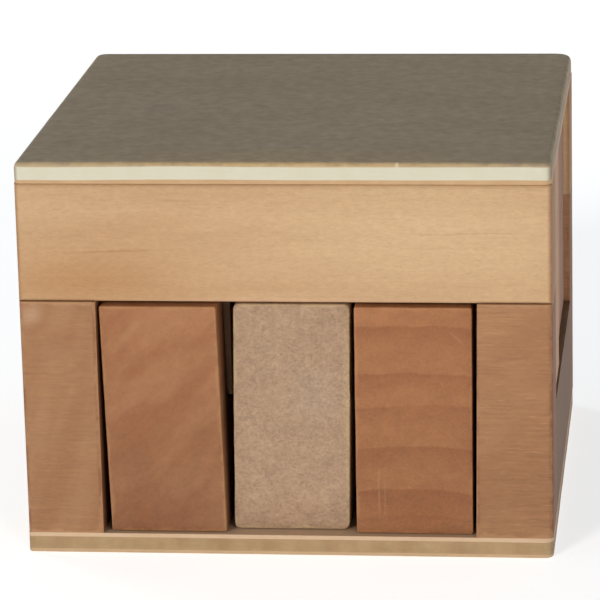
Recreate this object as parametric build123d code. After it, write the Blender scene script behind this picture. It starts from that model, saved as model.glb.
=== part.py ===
"""A wooden burr box: a glued cage that holds six sliding sticks, which lock one another.

The cage is four corner posts, a sill between the posts on each side, a rail across the posts in
front and behind, and a plywood plate above and below. It leaves a low window front and back and
a high window left and right. Three sticks run front to back through the low windows, and three
run left to right through the high ones. Both sets fill the middle layer where they cross, so
they are notched there, except the plain key stick. It slides out first, and frees the rest.

Frame: millimetres, +Z up, origin at the middle of the underside. The front faces -Y.
"""

import os

from build123d import *

# Driving dimensions

STICK_WIDTH = 20.0
STICK_LAYERS = 2  # a stick is this many stick widths tall
STICKS_PER_SET = 3
SPAN_PLAY = 3.8  # room left over across the three sticks of a set
HEAD_ROOM = 1.0  # room left over above a stick in its window
END_INSET = 1.5  # how far a centred stick stops short of the cage's outer face, at each end
WALL = 13.1  # thickness of the posts, the sills and the rails
LAYER_PLAY = 0.5  # height left between the two sets, so that they never bind
SLIDE_CLEARANCE = 0.1  # under a stick, between it and what it slides on
NOTCH_PLAY = 2.0  # end play that a notch gives its stick, each way
STOP_CLEARANCE = 0.1  # left between two sticks at the end of their play

PLATE = 3.6  # three-ply board
VENEER = 0.7  # each face ply of a plate
PLATE_CORNER = 1.8  # radius of a plate's corners, seen from above
PLATE_ARRIS = 1.1  # rounding of a plate's outer edge, in section
CORNER_ARRIS = 0.45  # rounding of the cage's four upright corners
WINDOW_ARRIS = 0.3  # rounding of the edges beside and under a window
STICK_ARRIS = 0.9  # rounding of a stick's long edges
STICK_END_ARRIS = 0.4  # rounding round a stick's end faces
NOTCH_CHAMFER = 0.35  # easing at the mouth of a notch

# Where the sticks lie, left to right and front to back: how far each is off the middle of its
# lane, and how far its front or its right-hand end lies behind the cage's outer face. The lower
# sticks are sawn a little out of square: the lean is how far the top is to the right of the foot.

LOWER_NAMES = ("lower_stick_left", "key_stick", "lower_stick_right")
LOWER_LANE_SHIFT = (0.15, 0.6, 0.2)
LOWER_FRONT_RECESS = (0.9, 2.8, 1.2)
LOWER_LEAN = (-0.95, 0.9, 0.2)
KEY = LOWER_NAMES.index("key_stick")
UPPER_NAMES = ("upper_stick_front", "upper_stick_middle", "upper_stick_back")
UPPER_LANE_SHIFT = (0.2, -0.1, 0.1)
UPPER_RIGHT_RECESS = (0.3, 1.0, 1.1)

# Sizes that follow from them

STICK_HEIGHT = STICK_LAYERS * STICK_WIDTH
SPAN = STICKS_PER_SET * STICK_WIDTH + SPAN_PLAY  # clear width of every window
LANE = SPAN / STICKS_PER_SET
SIDE = SPAN + 2 * WALL  # the cage is square seen from above
STICK_LENGTH = SIDE - 2 * END_INSET
WINDOW_HEIGHT = STICK_HEIGHT + HEAD_ROOM
SILL_HEIGHT = STICK_WIDTH + LAYER_PLAY
RAIL_HEIGHT = SILL_HEIGHT
CORE = PLATE - 2 * VENEER
HEIGHT = WINDOW_HEIGHT + RAIL_HEIGHT + 2 * PLATE

SILL_TOP = PLATE + SILL_HEIGHT
RAIL_BOTTOM = PLATE + WINDOW_HEIGHT
CEILING = RAIL_BOTTOM + RAIL_HEIGHT

LOWER_BOTTOM = PLATE + SLIDE_CLEARANCE
LOWER_TOP = LOWER_BOTTOM + STICK_HEIGHT
UPPER_BOTTOM = SILL_TOP + SLIDE_CLEARANCE
SET_GAP = UPPER_BOTTOM - LOWER_BOTTOM - STICK_WIDTH  # between a notch and the stick across it
NOTCH_DEPTH = LOWER_TOP - UPPER_BOTTOM + SET_GAP
LONG_NOTCH = SPAN + 2 * NOTCH_PLAY  # across all three upper sticks
CROSS_NOTCH = STICK_WIDTH + 2 * NOTCH_PLAY  # across the key stick


def block(length, width, height, x=0.0, y=0.0, bottom=0.0):
    """A plain block centred on x and y, which stands at the height `bottom`."""
    return Pos(x, y, bottom) * Box(length, width, height, align=(Align.CENTER, Align.CENTER, Align.MIN))


# Plates


def plate_blank(bottom, outer_on_top):
    """A whole plate, with its corners and its outer face's edge rounded."""
    blank = block(SIDE, SIDE, PLATE, bottom=bottom)
    blank = fillet(blank.edges().filter_by(Axis.Z), PLATE_CORNER)
    faces = blank.faces().sort_by(Axis.Z)
    return fillet(faces[-1 if outer_on_top else 0].edges(), PLATE_ARRIS)


def plate_plies(prefix, bottom, outer_on_top):
    """The three plies of a plate, by name, from the lowest up."""
    blank = plate_blank(bottom, outer_on_top)
    low, high = ("inner", "outer") if outer_on_top else ("outer", "inner")
    names = (f"{prefix}_{low}_veneer", f"{prefix}_core", f"{prefix}_{high}_veneer")
    plies = {}
    for name, thickness in zip(names, (VENEER, CORE, VENEER)):
        plies[name] = blank & block(2 * SIDE, 2 * SIDE, thickness, bottom=bottom)
        bottom += thickness
    return plies


# Cage


def post(side_x, side_y):
    """A corner post, two layers tall. side_x is -1 left or 1 right, side_y is -1 front or 1 back."""
    middle = (SIDE - WALL) / 2
    solid = block(WALL, WALL, WINDOW_HEIGHT, side_x * middle, side_y * middle, PLATE)

    def outward(edge):
        """How many of the post's two outer faces the edge lies on."""
        return (side_x * edge.center().X > middle) + (side_y * edge.center().Y > middle)

    upright = solid.edges().filter_by(Axis.Z)
    solid = fillet([edge for edge in upright if outward(edge) == 2], CORNER_ARRIS)
    beside_windows = [edge for edge in solid.edges().filter_by(Axis.Z) if outward(edge) == 1]
    return fillet(beside_windows, WINDOW_ARRIS)


def sill(side):
    """The low piece between two posts, under a high window. side is -1 left or 1 right."""
    solid = block(WALL, SPAN, SILL_HEIGHT, x=side * (SIDE - WALL) / 2, bottom=PLATE)
    top_edges = solid.edges().filter_by(Axis.Y).group_by(Axis.Z)[-1].sort_by(Axis.X)
    return fillet(top_edges[-1 if side > 0 else 0], WINDOW_ARRIS)


def rail(side):
    """The rail across two posts, over a low window. side is -1 in front or 1 behind."""
    solid = block(SIDE, WALL, RAIL_HEIGHT, y=side * (SIDE - WALL) / 2, bottom=RAIL_BOTTOM)
    upright = solid.edges().filter_by(Axis.Z).group_by(Axis.Y)
    return fillet(upright[-1 if side > 0 else 0], CORNER_ARRIS)


# Sticks


def stick_blank(along, lean=0.0):
    """A whole stick along X or Y, centred, with its foot at height 0 and every edge rounded."""
    across = Plane.YZ if along == Axis.X else Plane.XZ
    half = STICK_WIDTH / 2
    foot, top = -lean / 2, lean / 2
    corners = [
        (foot - half, 0),
        (foot + half, 0),
        (top + half, STICK_HEIGHT),
        (top - half, STICK_HEIGHT),
    ]
    section = make_face(Polyline(*corners, close=True))
    blank = extrude(across * section, STICK_LENGTH / 2, both=True)
    blank = fillet(blank.edges().filter_by(along), STICK_ARRIS)
    ends = blank.faces().sort_by(along)
    return fillet(ends[0].edges() + ends[-1].edges(), STICK_END_ARRIS)


def notch_cutter(along, length, at_top):
    """What a notch takes out of a stick: a slot right across it, its mouth eased by a chamfer."""
    mouth, inward = (STICK_HEIGHT, -1) if at_top else (0, 1)
    half = length / 2
    right = [
        (half, mouth + inward * NOTCH_DEPTH),
        (half, mouth + inward * NOTCH_CHAMFER),
        (half + NOTCH_CHAMFER, mouth),
        (half + NOTCH_CHAMFER, mouth - inward),
    ]
    left = [(-x, z) for x, z in reversed(right)]
    side_view = Plane.XZ if along == Axis.X else Plane.YZ
    return extrude(side_view * make_face(Polyline(*right, *left, close=True)), STICK_WIDTH, both=True)


def lower_stick(number):
    """A stick that runs front to back. All but the key have a long notch in the top."""
    stick = stick_blank(Axis.Y, LOWER_LEAN[number])
    if number != KEY:
        stick -= notch_cutter(Axis.Y, LONG_NOTCH, at_top=True)
    return Pos(lower_x(number), lower_y(number), LOWER_BOTTOM) * stick


def upper_stick(number):
    """A stick that runs left to right, with a notch underneath that bridges the key."""
    stick = stick_blank(Axis.X) - notch_cutter(Axis.X, CROSS_NOTCH, at_top=False)
    return Pos(upper_x(number), upper_y(number), UPPER_BOTTOM) * stick


# Where the sticks lie


def lane_middle(number):
    """Middle of a lane, counted 0, 1, 2 from the left or the front."""
    return (number - (STICKS_PER_SET - 1) / 2) * LANE


def lower_x(number):
    """Middle of a lower stick, from left to right."""
    return lane_middle(number) + LOWER_LANE_SHIFT[number]


def lower_y(number):
    """Middle of a lower stick, from front to back."""
    return LOWER_FRONT_RECESS[number] + (STICK_LENGTH - SIDE) / 2


def upper_x(number):
    """Middle of an upper stick, from left to right."""
    return (SIDE - STICK_LENGTH) / 2 - UPPER_RIGHT_RECESS[number]


def upper_y(number):
    """Middle of an upper stick, from front to back."""
    return lane_middle(number) + UPPER_LANE_SHIFT[number]


# Travel of each stick from where it lies: (least, most), counted to the front or to the right


def key_travel():
    """The key slides either way until only one wall of the cage still holds its tail."""
    to_front = lower_y(KEY) + (STICK_LENGTH + SPAN) / 2
    to_back = -lower_y(KEY) + (STICK_LENGTH + SPAN) / 2
    return -to_back, to_front


def lower_travel(number):
    """A notched lower stick stops against the outermost upper sticks."""
    to_back = upper_y(0) - STICK_WIDTH / 2 - (lower_y(number) - LONG_NOTCH / 2)
    to_front = lower_y(number) + LONG_NOTCH / 2 - (upper_y(STICKS_PER_SET - 1) + STICK_WIDTH / 2)
    return -to_back + STOP_CLEARANCE, to_front - STOP_CLEARANCE


def upper_travel(number):
    """An upper stick stops against the sides of the key, which are widest apart at its top."""
    lean_left, lean_right = max(0, -LOWER_LEAN[KEY] / 2), max(0, LOWER_LEAN[KEY] / 2)
    key_left = lower_x(KEY) - STICK_WIDTH / 2 - lean_left
    key_right = lower_x(KEY) + STICK_WIDTH / 2 + lean_right
    to_left = upper_x(number) + CROSS_NOTCH / 2 - key_right
    to_right = key_left - (upper_x(number) - CROSS_NOTCH / 2)
    return -to_left + STOP_CLEARANCE, to_right - STOP_CLEARANCE


def all_parts():
    """Every piece of the box, by name."""
    parts = {
        **plate_plies("bottom_plate", 0.0, outer_on_top=False),
        "left_sill": sill(-1),
        "right_sill": sill(1),
        "front_rail": rail(-1),
        "back_rail": rail(1),
        **plate_plies("top_plate", CEILING, outer_on_top=True),
    }
    for front_or_back, side_y in (("front", -1), ("back", 1)):
        for left_or_right, side_x in (("left", -1), ("right", 1)):
            parts[f"{front_or_back}_{left_or_right}_post"] = post(side_x, side_y)
    for number in range(STICKS_PER_SET):
        parts[LOWER_NAMES[number]] = lower_stick(number)
        parts[UPPER_NAMES[number]] = upper_stick(number)
    return parts


def main():
    """Write one STEP file for each piece, and print the sizes and the travels."""
    os.makedirs("parts", exist_ok=True)
    for name, shape in all_parts().items():
        export_step(shape, f"parts/{name}.step")
    print(f"cage {SIDE:.1f} x {SIDE:.1f} x {HEIGHT:.1f} mm, sticks {STICK_LENGTH:.1f} mm long")
    travels = {LOWER_NAMES[number]: lower_travel(number) for number in range(STICKS_PER_SET) if number != KEY}
    travels[LOWER_NAMES[KEY]] = key_travel()
    travels.update({UPPER_NAMES[number]: upper_travel(number) for number in range(STICKS_PER_SET)})
    for name, (least, most) in travels.items():
        print(f"{name} travels from {least:.2f} to {most:.2f} mm")


if __name__ == "__main__":
    main()
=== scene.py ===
"""Looks for the wooden burr box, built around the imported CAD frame.

Every piece of the box is modelled again in the place of its CAD node, with eased and slightly
uneven edges, and dressed in a wood of its own: plywood plates, a glued cage and six sticks.
Lengths are in metres, in the frame of the CAD model: +Z up, the front facing -Y. Patterns are
laid out in millimetres.
"""

import logging
import math
from dataclasses import dataclass, field, replace
from enum import Enum
from typing import Any, Callable, Iterable, Union

import bmesh
import bpy
from mathutils import Matrix, Vector


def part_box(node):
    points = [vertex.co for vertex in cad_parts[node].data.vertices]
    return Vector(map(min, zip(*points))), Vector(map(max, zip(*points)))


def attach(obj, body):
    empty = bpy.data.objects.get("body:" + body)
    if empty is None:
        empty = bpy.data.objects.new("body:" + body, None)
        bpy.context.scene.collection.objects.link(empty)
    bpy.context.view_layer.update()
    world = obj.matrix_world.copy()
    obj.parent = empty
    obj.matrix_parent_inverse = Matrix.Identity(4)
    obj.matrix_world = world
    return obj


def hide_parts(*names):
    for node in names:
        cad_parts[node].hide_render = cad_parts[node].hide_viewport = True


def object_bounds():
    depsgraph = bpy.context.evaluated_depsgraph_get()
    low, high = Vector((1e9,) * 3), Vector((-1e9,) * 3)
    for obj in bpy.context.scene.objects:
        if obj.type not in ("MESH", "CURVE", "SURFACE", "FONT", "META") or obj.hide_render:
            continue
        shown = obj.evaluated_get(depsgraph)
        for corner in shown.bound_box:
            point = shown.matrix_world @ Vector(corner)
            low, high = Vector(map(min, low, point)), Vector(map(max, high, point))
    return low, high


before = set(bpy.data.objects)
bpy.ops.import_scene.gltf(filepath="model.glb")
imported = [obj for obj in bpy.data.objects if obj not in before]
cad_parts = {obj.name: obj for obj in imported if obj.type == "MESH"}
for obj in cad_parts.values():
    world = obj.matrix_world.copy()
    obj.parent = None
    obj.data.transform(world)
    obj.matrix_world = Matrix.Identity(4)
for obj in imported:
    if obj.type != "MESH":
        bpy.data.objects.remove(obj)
CAD_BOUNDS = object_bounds()

MM = 0.001
TINY = 1e-6
LOG = logging.getLogger("burr_box")

Colour = tuple[float, float, float]
Operand = Union["Value", float]


def tone(red: float, green: float, blue: float) -> Colour:
    """Turn a paint-chart tone, 0 to 255, into the linear light that shaders take.

    Args:
        red: Red share.
        green: Green share.
        blue: Blue share.

    Returns:
        The linear colour.
    """

    def linear(share: float) -> float:
        """One channel of the tone in linear light."""
        level = share / 255
        return level / 12.92 if level <= 0.04045 else ((level + 0.055) / 1.055) ** 2.4

    return linear(red), linear(green), linear(blue)


class Axis(Enum):
    """A direction of the box, with its place in a vector."""

    X = 0
    Y = 1
    Z = 2

    @property
    def vector(self) -> Vector:
        """The unit vector along the axis."""
        return Vector([1.0 if number == self.value else 0.0 for number in range(3)])

    @property
    def others(self) -> tuple["Axis", "Axis"]:
        """The two axes across this one, in order."""
        first, second = [axis for axis in Axis if axis is not self]
        return first, second


# Shader building


class Value:
    """A number socket of a shader tree that Python's operators work on."""

    def __init__(self, tree: "Shader", socket: bpy.types.NodeSocket) -> None:
        """Wrap an output of a shader's node."""
        self.tree = tree
        self.socket = socket

    def __add__(self, other: Operand) -> "Value":
        """Sum."""
        return self.tree.math("ADD", self, other)

    def __sub__(self, other: Operand) -> "Value":
        """Difference."""
        return self.tree.math("SUBTRACT", self, other)

    def __rsub__(self, other: Operand) -> "Value":
        """Difference from a number."""
        return self.tree.math("SUBTRACT", other, self)

    def __mul__(self, other: Operand) -> "Value":
        """Product."""
        return self.tree.math("MULTIPLY", self, other)

    def __truediv__(self, other: Operand) -> "Value":
        """Quotient."""
        return self.tree.math("DIVIDE", self, other)

    __radd__ = __add__
    __rmul__ = __mul__

    def band(self, low: float, high: float) -> "Value":
        """Smooth step from 0 at low to 1 at high."""
        inputs = {"Value": self, "From Min": low, "From Max": high}
        return self.tree.value("ShaderNodeMapRange", {"interpolation_type": "SMOOTHSTEP"}, inputs, "Result")

    def least(self, other: Operand) -> "Value":
        """The smaller of the two."""
        return self.tree.math("MINIMUM", self, other)

    def most(self, other: Operand) -> "Value":
        """The larger of the two."""
        return self.tree.math("MAXIMUM", self, other)


class Shader:
    """The node tree of one material."""

    def __init__(self, name: str) -> None:
        """Make an empty material with an output and a Principled shader.

        Args:
            name: The material's name.
        """
        self.material = bpy.data.materials.new(name)
        self.material.use_nodes = True
        self.tree = self.material.node_tree
        self.tree.nodes.clear()
        self.surface = self.tree.nodes.new("ShaderNodeBsdfPrincipled")
        output = self.tree.nodes.new("ShaderNodeOutputMaterial")
        self.tree.links.new(self.surface.outputs["BSDF"], output.inputs["Surface"])

    def node(self, kind: str, settings: dict[str, Any], inputs: dict[Any, Any]) -> bpy.types.Node:
        """Add a node.

        Args:
            kind: The node's type.
            settings: Properties set before the inputs; "stops" fills a colour ramp.
            inputs: Values or links, by the name or number of the socket.

        Returns:
            The new node.
        """
        node = self.tree.nodes.new(kind)
        for key, value in settings.items():
            if key == "stops":
                self._fill_ramp(node.color_ramp, value)
            else:
                setattr(node, key, value)
        for key, value in inputs.items():
            self.feed(node.inputs[key], value)
        return node

    def value(self, kind: str, settings: dict[str, Any], inputs: dict[Any, Any], output: str) -> Value:
        """Add a node like node() does, and hand over one of its outputs as a number."""
        return Value(self, self.node(kind, settings, inputs).outputs[output])

    @staticmethod
    def _fill_ramp(ramp: bpy.types.ColorRamp, stops: list[tuple[float, Colour]]) -> None:
        """Give a ramp its stops.

        Args:
            ramp: The ramp.
            stops: The place and the colour of each stop.
        """
        while len(ramp.elements) < len(stops):
            ramp.elements.new(0.5)
        for element, (place, colour) in zip(ramp.elements, stops):
            element.position = place
            element.color = (*colour, 1)

    def feed(self, socket: bpy.types.NodeSocket, value: Any) -> None:
        """Link a socket to another one, or set its value.

        Args:
            socket: The input to feed.
            value: A number, a vector, a colour or a link.
        """
        if isinstance(value, Value):
            value = value.socket
        if isinstance(value, bpy.types.NodeSocket):
            self.tree.links.new(value, socket)
        elif isinstance(value, tuple) and len(value) == 3 and socket.type == "RGBA":
            socket.default_value = (*value, 1)
        else:
            socket.default_value = value

    def math(self, operation: str, first: Operand, second: Operand = 0.0) -> Value:
        """A Math node on one or two operands."""
        return self.value("ShaderNodeMath", {"operation": operation}, {0: first, 1: second}, "Value")

    def mix(self, share: Operand, first: Any, second: Any, blend: str = "MIX") -> bpy.types.NodeSocket:
        """Mix two colours, each a colour or a link, with a share of the second one over the first."""
        settings = {"data_type": "RGBA", "blend_type": blend, "clamp_factor": True}
        return self.node("ShaderNodeMix", settings, {0: share, 6: first, 7: second}).outputs[2]

    def place(self) -> bpy.types.NodeSocket:
        """Where the surface is on the box, in millimetres."""
        source = self.node("ShaderNodeTexCoord", {}, {}).outputs["Object"]
        return self.vector_math("SCALE", source, {"Scale": 1 / MM})

    def vector_math(self, operation: str, first: Any, others: dict[Any, Any]) -> bpy.types.NodeSocket:
        """A Vector Math node on a first vector and others, by name or number, that gives a vector."""
        node = self.node("ShaderNodeVectorMath", {"operation": operation}, {0: first, **others})
        return node.outputs["Vector"]

    def split(self, vector: bpy.types.NodeSocket) -> list[Value]:
        """The three parts of a vector."""
        node = self.node("ShaderNodeSeparateXYZ", {}, {"Vector": vector})
        return [Value(self, node.outputs[axis.name]) for axis in Axis]

    def length(self, vector: bpy.types.NodeSocket) -> Value:
        """How long a vector is."""
        return self.value("ShaderNodeVectorMath", {"operation": "LENGTH"}, {0: vector}, "Value")

    def seen_from(
        self,
        place: bpy.types.NodeSocket,
        middle: Iterable[float],
        size: Iterable[float],
        turn: Iterable[float] = (0.0, 0.0, 0.0),
    ) -> bpy.types.NodeSocket:
        """Coordinates that start at a middle, are turned and count in sizes.

        Args:
            place: The coordinates, in millimetres.
            middle: Where the new ones are zero, in millimetres.
            size: What counts as one along each turned axis, in millimetres.
            turn: How far the axes are turned about X, Y and Z, in degrees.

        Returns:
            The new coordinates.
        """
        angles = tuple(math.radians(angle) for angle in turn)
        inputs = {"Vector": place, "Location": tuple(middle), "Rotation": angles, "Scale": tuple(size)}
        return self.node("ShaderNodeMapping", {"vector_type": "TEXTURE"}, inputs).outputs["Vector"]

    def grey(self, level: Value) -> bpy.types.NodeSocket:
        """A level as a colour without hue."""
        return self.node("ShaderNodeCombineXYZ", {}, {0: level, 1: level, 2: level}).outputs["Vector"]

    def noise(
        self,
        place: bpy.types.NodeSocket,
        start: Iterable[float],
        size: Iterable[float],
        detail: float,
        roughness: float,
        turn: Iterable[float] = (0.0, 0.0, 0.0),
    ) -> Value:
        """Noise from 0 to 1.

        Args:
            place: The coordinates, in millimetres.
            start: Where it starts, in millimetres, which sets one noise apart from another.
            size: Length, depth and height of one cell, in millimetres.
            detail: How many finer layers are added.
            roughness: How strong they are.
            turn: How far it is turned about X, Y and Z, in degrees.

        Returns:
            The noise.
        """
        cells = self.seen_from(place, start, size, turn)
        inputs = {"Vector": cells, "Scale": 1.0, "Detail": detail, "Roughness": roughness}
        return self.value("ShaderNodeTexNoise", {}, inputs, "Fac")

    def shaken(self, place: bpy.types.NodeSocket, size: float, reach: float) -> bpy.types.NodeSocket:
        """Coordinates that wander to and fro.

        Args:
            place: The coordinates, in millimetres.
            size: Width of one swing, in millimetres.
            reach: How far it goes, in millimetres.

        Returns:
            The wandering coordinates.
        """
        inputs = {"Vector": place, "Scale": 1 / size, "Detail": 2.0}
        swing = self.node("ShaderNodeTexNoise", {}, inputs).outputs["Color"]
        swing = self.vector_math("SUBTRACT", swing, {1: (0.5, 0.5, 0.5)})
        swing = self.vector_math("SCALE", swing, {"Scale": 2 * reach})
        return self.vector_math("ADD", place, {1: swing})

    def relief(self, height: Value, depth: float) -> None:
        """Raise the surface by a height from 0 to 1, which is a depth in metres."""
        bump = self.node("ShaderNodeBump", {}, {"Height": height, "Strength": 1.0, "Distance": depth})
        self.feed(self.surface.inputs["Normal"], bump.outputs["Normal"])


# Finishes

SHINE = 0.28  # how much light bare wood throws back
GRAIN_DEPTH = 0.09 * MM  # relief of the fibres and the saw marks
FIBRE_MATT, MOTTLE_MATT, RIM_MATT = 0.14, 0.1, -0.08  # what each adds to the roughness
RIGHT_THROUGH = 1e5  # a size along the grain that lets a pattern run right through, in millimetres
RING_EDGE = 0.22  # width of the sharp outer side of a growth ring, in millimetres
RING_MARGIN = 4.0  # room for the rings beyond the piece, in millimetres
FIBRE_SIZE = (0.6, 12.0)  # width and length of a fibre, in millimetres
END_FADE = (0.9, 0.1)  # where the tone of an end starts and is full, in millimetres from the end
FLECK_TURN = (0.0, -20.0, 0.0)  # how the pale flecks lie, in degrees


@dataclass(frozen=True)
class Mark:
    """A stain, a streak or a scratch: a soft oval on a piece.

    Attributes:
        at: Its middle, in millimetres right of, behind and above the piece's middle.
        reach: Half its length, depth and width, in millimetres.
        colour: The colour that it has.
        share: How strongly it shows.
        turn: How far it is turned anticlockwise, in degrees.
        about: The axis that it is turned about.
    """

    at: tuple[float, float, float]
    reach: tuple[float, float, float]
    colour: Colour
    share: float = 0.4
    turn: float = 0.0
    about: Axis = Axis.Y

    def paint(
        self, shader: Shader, place: bpy.types.NodeSocket, colour: bpy.types.NodeSocket
    ) -> bpy.types.NodeSocket:
        """Lay the mark over a colour.

        Args:
            shader: The shader.
            place: Coordinates from the piece's middle, in millimetres.
            colour: The colour beneath.

        Returns:
            The colour with the mark.
        """
        sign = -1 if self.about is Axis.Y else 1
        oval = shader.seen_from(place, self.at, self.reach, self.about.vector * (sign * self.turn))
        cover = 1 - shader.length(oval).band(0.0, 1.0)
        return shader.mix(cover * self.share, colour, self.colour)


@dataclass(frozen=True)
class Ring:
    """The dark late wood of one growth ring.

    Attributes:
        at: Height of its sharp outer side over the piece's middle, in millimetres.
        share: How dark it is.
        fade: How far it fades inwards, in millimetres.
    """

    at: float
    share: float
    fade: float


@dataclass(frozen=True)
class Surface:
    """What a pattern needs to know of the piece that it is laid on.

    Attributes:
        shader: The shader of its material.
        place: Coordinates from its middle, in millimetres.
        loose: The same coordinates, a little wavy.
        size: Its size, in millimetres.
        lean: How far its top lies to the right of its foot, in millimetres.
        seed: A number that sets its pattern apart from the others.
    """

    shader: Shader
    place: bpy.types.NodeSocket
    loose: bpy.types.NodeSocket
    size: Vector
    lean: float
    seed: float


@dataclass(frozen=True)
class Wood:
    """A sawn and sanded wood, as a solid pattern that runs right through a piece.

    Attributes:
        early: Colour of the pale, early wood of a growth ring.
        late: Colour of its dark, late wood.
        cloud: Colour that broad clouds tint it with.
        worn: Colour of its worn edges.
        grain: Axis that the fibres run along.
        pith: Where the heart of the tree lies across the grain, in millimetres from the piece's
            middle.
        rings: Its growth rings, from the lowest to the highest.
        wander: How far the rings wander, in millimetres.
        cloud_share: How strongly the clouds show.
        cloud_size: Length, depth and width of a cloud, in millimetres.
        slant: How far the clouds rise to the right, in degrees, seen from the front.
        mottle_share: How strongly blotches a few millimetres wide show.
        fibre_share: How strongly the fibres show.
        speckle_share: How strongly the cut ends of the fibres show.
        speckle_size: Their width, in millimetres.
        fleck_share: How strongly scattered pale flecks show.
        saw_share: How strongly the marks of a fine saw show, level lines on an upright face.
        end: Colour of the two ends of the grain. Where the ends lie on the box's sides, as on the cage
            boards and the cream core, it is partly painted shade of those sides.
        end_share: How strongly it shows.
        fade: How much darker the piece is at its foot than at its top.
        rim_share: How strongly the worn edges show.
        roughness: How matt the surface is.
        marks: Its stains and scratches.
    """

    early: Colour
    late: Colour
    cloud: Colour
    worn: Colour
    grain: Axis = Axis.X
    pith: tuple[float, float] = (0.0, -70.0)
    rings: tuple[Ring, ...] = ()
    wander: float = 0.8
    cloud_share: float = 0.5
    cloud_size: tuple[float, float, float] = (16.0, 16.0, 6.0)
    slant: float = 0.0
    mottle_share: float = 0.12
    fibre_share: float = 0.12
    speckle_share: float = 0.16
    speckle_size: float = 0.45
    fleck_share: float = 0.12
    saw_share: float = 0.0
    end: Colour = tone(150, 108, 78)
    end_share: float = 0.0
    fade: float = 0.0
    rim_share: float = 0.4
    roughness: float = 0.62
    marks: tuple[Mark, ...] = ()

    def build(
        self, name: str, low: Vector, high: Vector, seed: float, lean: float = 0.0
    ) -> bpy.types.Material:
        """Make the material for one piece.

        Args:
            name: The material's name.
            low: The piece's lowest corner, in metres.
            high: The piece's highest corner, in metres.
            seed: A number that sets this piece's pattern apart from the others.
            lean: How far the piece's top lies to the right of its foot, in metres.

        Returns:
            The material.
        """
        shader = Shader(name)
        place = shader.seen_from(shader.place(), (low + high) / 2 / MM, (1, 1, 1))
        loose = shader.shaken(place, size=5.0, reach=0.35)
        piece = Surface(shader, place, loose, (high - low) / MM, lean / MM, seed)

        colour = self._ground(piece)
        for mark in self.marks:
            colour = mark.paint(shader, loose, colour)
        # darker end grain, which on the box's sides is partly painted shade
        if self.end_share:
            colour = shader.mix(self._ends(piece) * self.end_share, colour, self.end)
        fibres = self._fibres(piece)
        speckle = self._speckle(piece)
        saw = self._saw_marks(piece)
        mottle = shader.noise(place, (seed, 0, 0), (2.2, 2.2, 1.6), 3.0, 0.6, self._cloud_turn())
        shade = 1 + (fibres - 0.5) * self.fibre_share + (speckle - 0.5) * self.speckle_share
        shade = shade + (saw - 0.5) * self.saw_share + (mottle - 0.5) * self.mottle_share
        shade = shade + self._flecks(piece) * self.fleck_share
        shade = shade + shader.split(place)[2] * (self.fade / piece.size.z)
        colour = shader.mix(1.0, colour, shader.grey(shade), "MULTIPLY")
        rim = self._rim(piece)
        colour = shader.mix(rim * self.rim_share, colour, self.worn)
        shader.feed(shader.surface.inputs["Base Color"], colour)
        matt = (fibres - 0.5) * FIBRE_MATT + (mottle - 0.5) * MOTTLE_MATT + rim * RIM_MATT
        shader.feed(shader.surface.inputs["Roughness"], self.roughness + matt)
        shader.surface.inputs["Specular IOR Level"].default_value = SHINE
        height = fibres * 0.5 + speckle * (0.3 + self.speckle_share) + saw * (0.2 + self.saw_share)
        shader.relief(height, GRAIN_DEPTH)
        return shader.material

    def _cloud_turn(self) -> tuple[float, float, float]:
        """How the clouds and the blotches are turned about X, Y and Z, in degrees."""
        return (0.0, -self.slant, 0.0)

    def _by_grain(self, across: float, along: float) -> list[float]:
        """A size across and a size along the grain, in the order of the axes."""
        return [along if axis is self.grain else across for axis in Axis]

    def _ground(self, piece: Surface) -> bpy.types.NodeSocket:
        """Lay the colours of the rings and the clouds.

        Args:
            piece: The piece that they are laid on.

        Returns:
            The colour.
        """
        shader = piece.shader
        colour: Any = self.early
        if self.rings:
            colour = shader.mix(self._growth(piece), colour, self.late)
        start = (piece.seed * 3, piece.seed, 0)
        clouds = shader.noise(piece.loose, start, self.cloud_size, 3.0, 0.55, self._cloud_turn())
        return shader.mix(clouds.band(0.32, 0.68) * self.cloud_share, colour, self.cloud)

    def _growth(self, piece: Surface) -> Value:
        """Lay growth rings, which darken slowly outwards and end in a sharp line.

        Args:
            piece: The piece that they are laid on.

        Returns:
            The rings, from 0 to 1.
        """
        shader = piece.shader
        place = shader.shaken(piece.loose, size=14.0, reach=self.wander)
        heart = [0.0, 0.0, 0.0]
        for axis, offset in zip(self.grain.others, self.pith):
            heart[axis.value] = offset
        radius = shader.length(shader.seen_from(place, heart, self._by_grain(1.0, RIGHT_THROUGH)))
        span = piece.size[self.grain.others[1].value] + RING_MARGIN
        start = math.hypot(*self.pith) - span / 2
        stops = [(0.0, (0.0, 0.0, 0.0))]
        for ring in self.rings:
            rise = ((ring.at - ring.fade, 0.0), (ring.at, ring.share), (ring.at + RING_EDGE, 0.0))
            stops += [((at + span / 2) / span, (share, share, share)) for at, share in rise]
        inputs = {"Fac": (radius - start) / span}
        rings = shader.value("ShaderNodeValToRGB", {"stops": stops}, inputs, "Color")
        uneven = shader.noise(place, (0, 0, 0), (5.0, 5.0, 2.5), 3.0, 0.6)
        return rings * (uneven * 1.5 + 0.2)

    def _fibres(self, piece: Surface) -> Value:
        """Fine fibres along the grain, from 0 to 1."""
        start = (piece.seed, piece.seed, 0)
        return piece.shader.noise(piece.place, start, self._by_grain(*FIBRE_SIZE), 3.0, 0.65)

    def _speckle(self, piece: Surface) -> Value:
        """Lay the cut ends of the fibres.

        Args:
            piece: The piece that they are laid on.

        Returns:
            The speckle, from 0 to 1.
        """
        width = self.speckle_size
        size = [width * 1.25, width, width]
        size[self.grain.value] *= 3
        wavy = piece.shader.shaken(piece.place, size=2.0, reach=0.6)
        return piece.shader.noise(wavy, (0, piece.seed, piece.seed), size, 2.0, 0.7)

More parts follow.
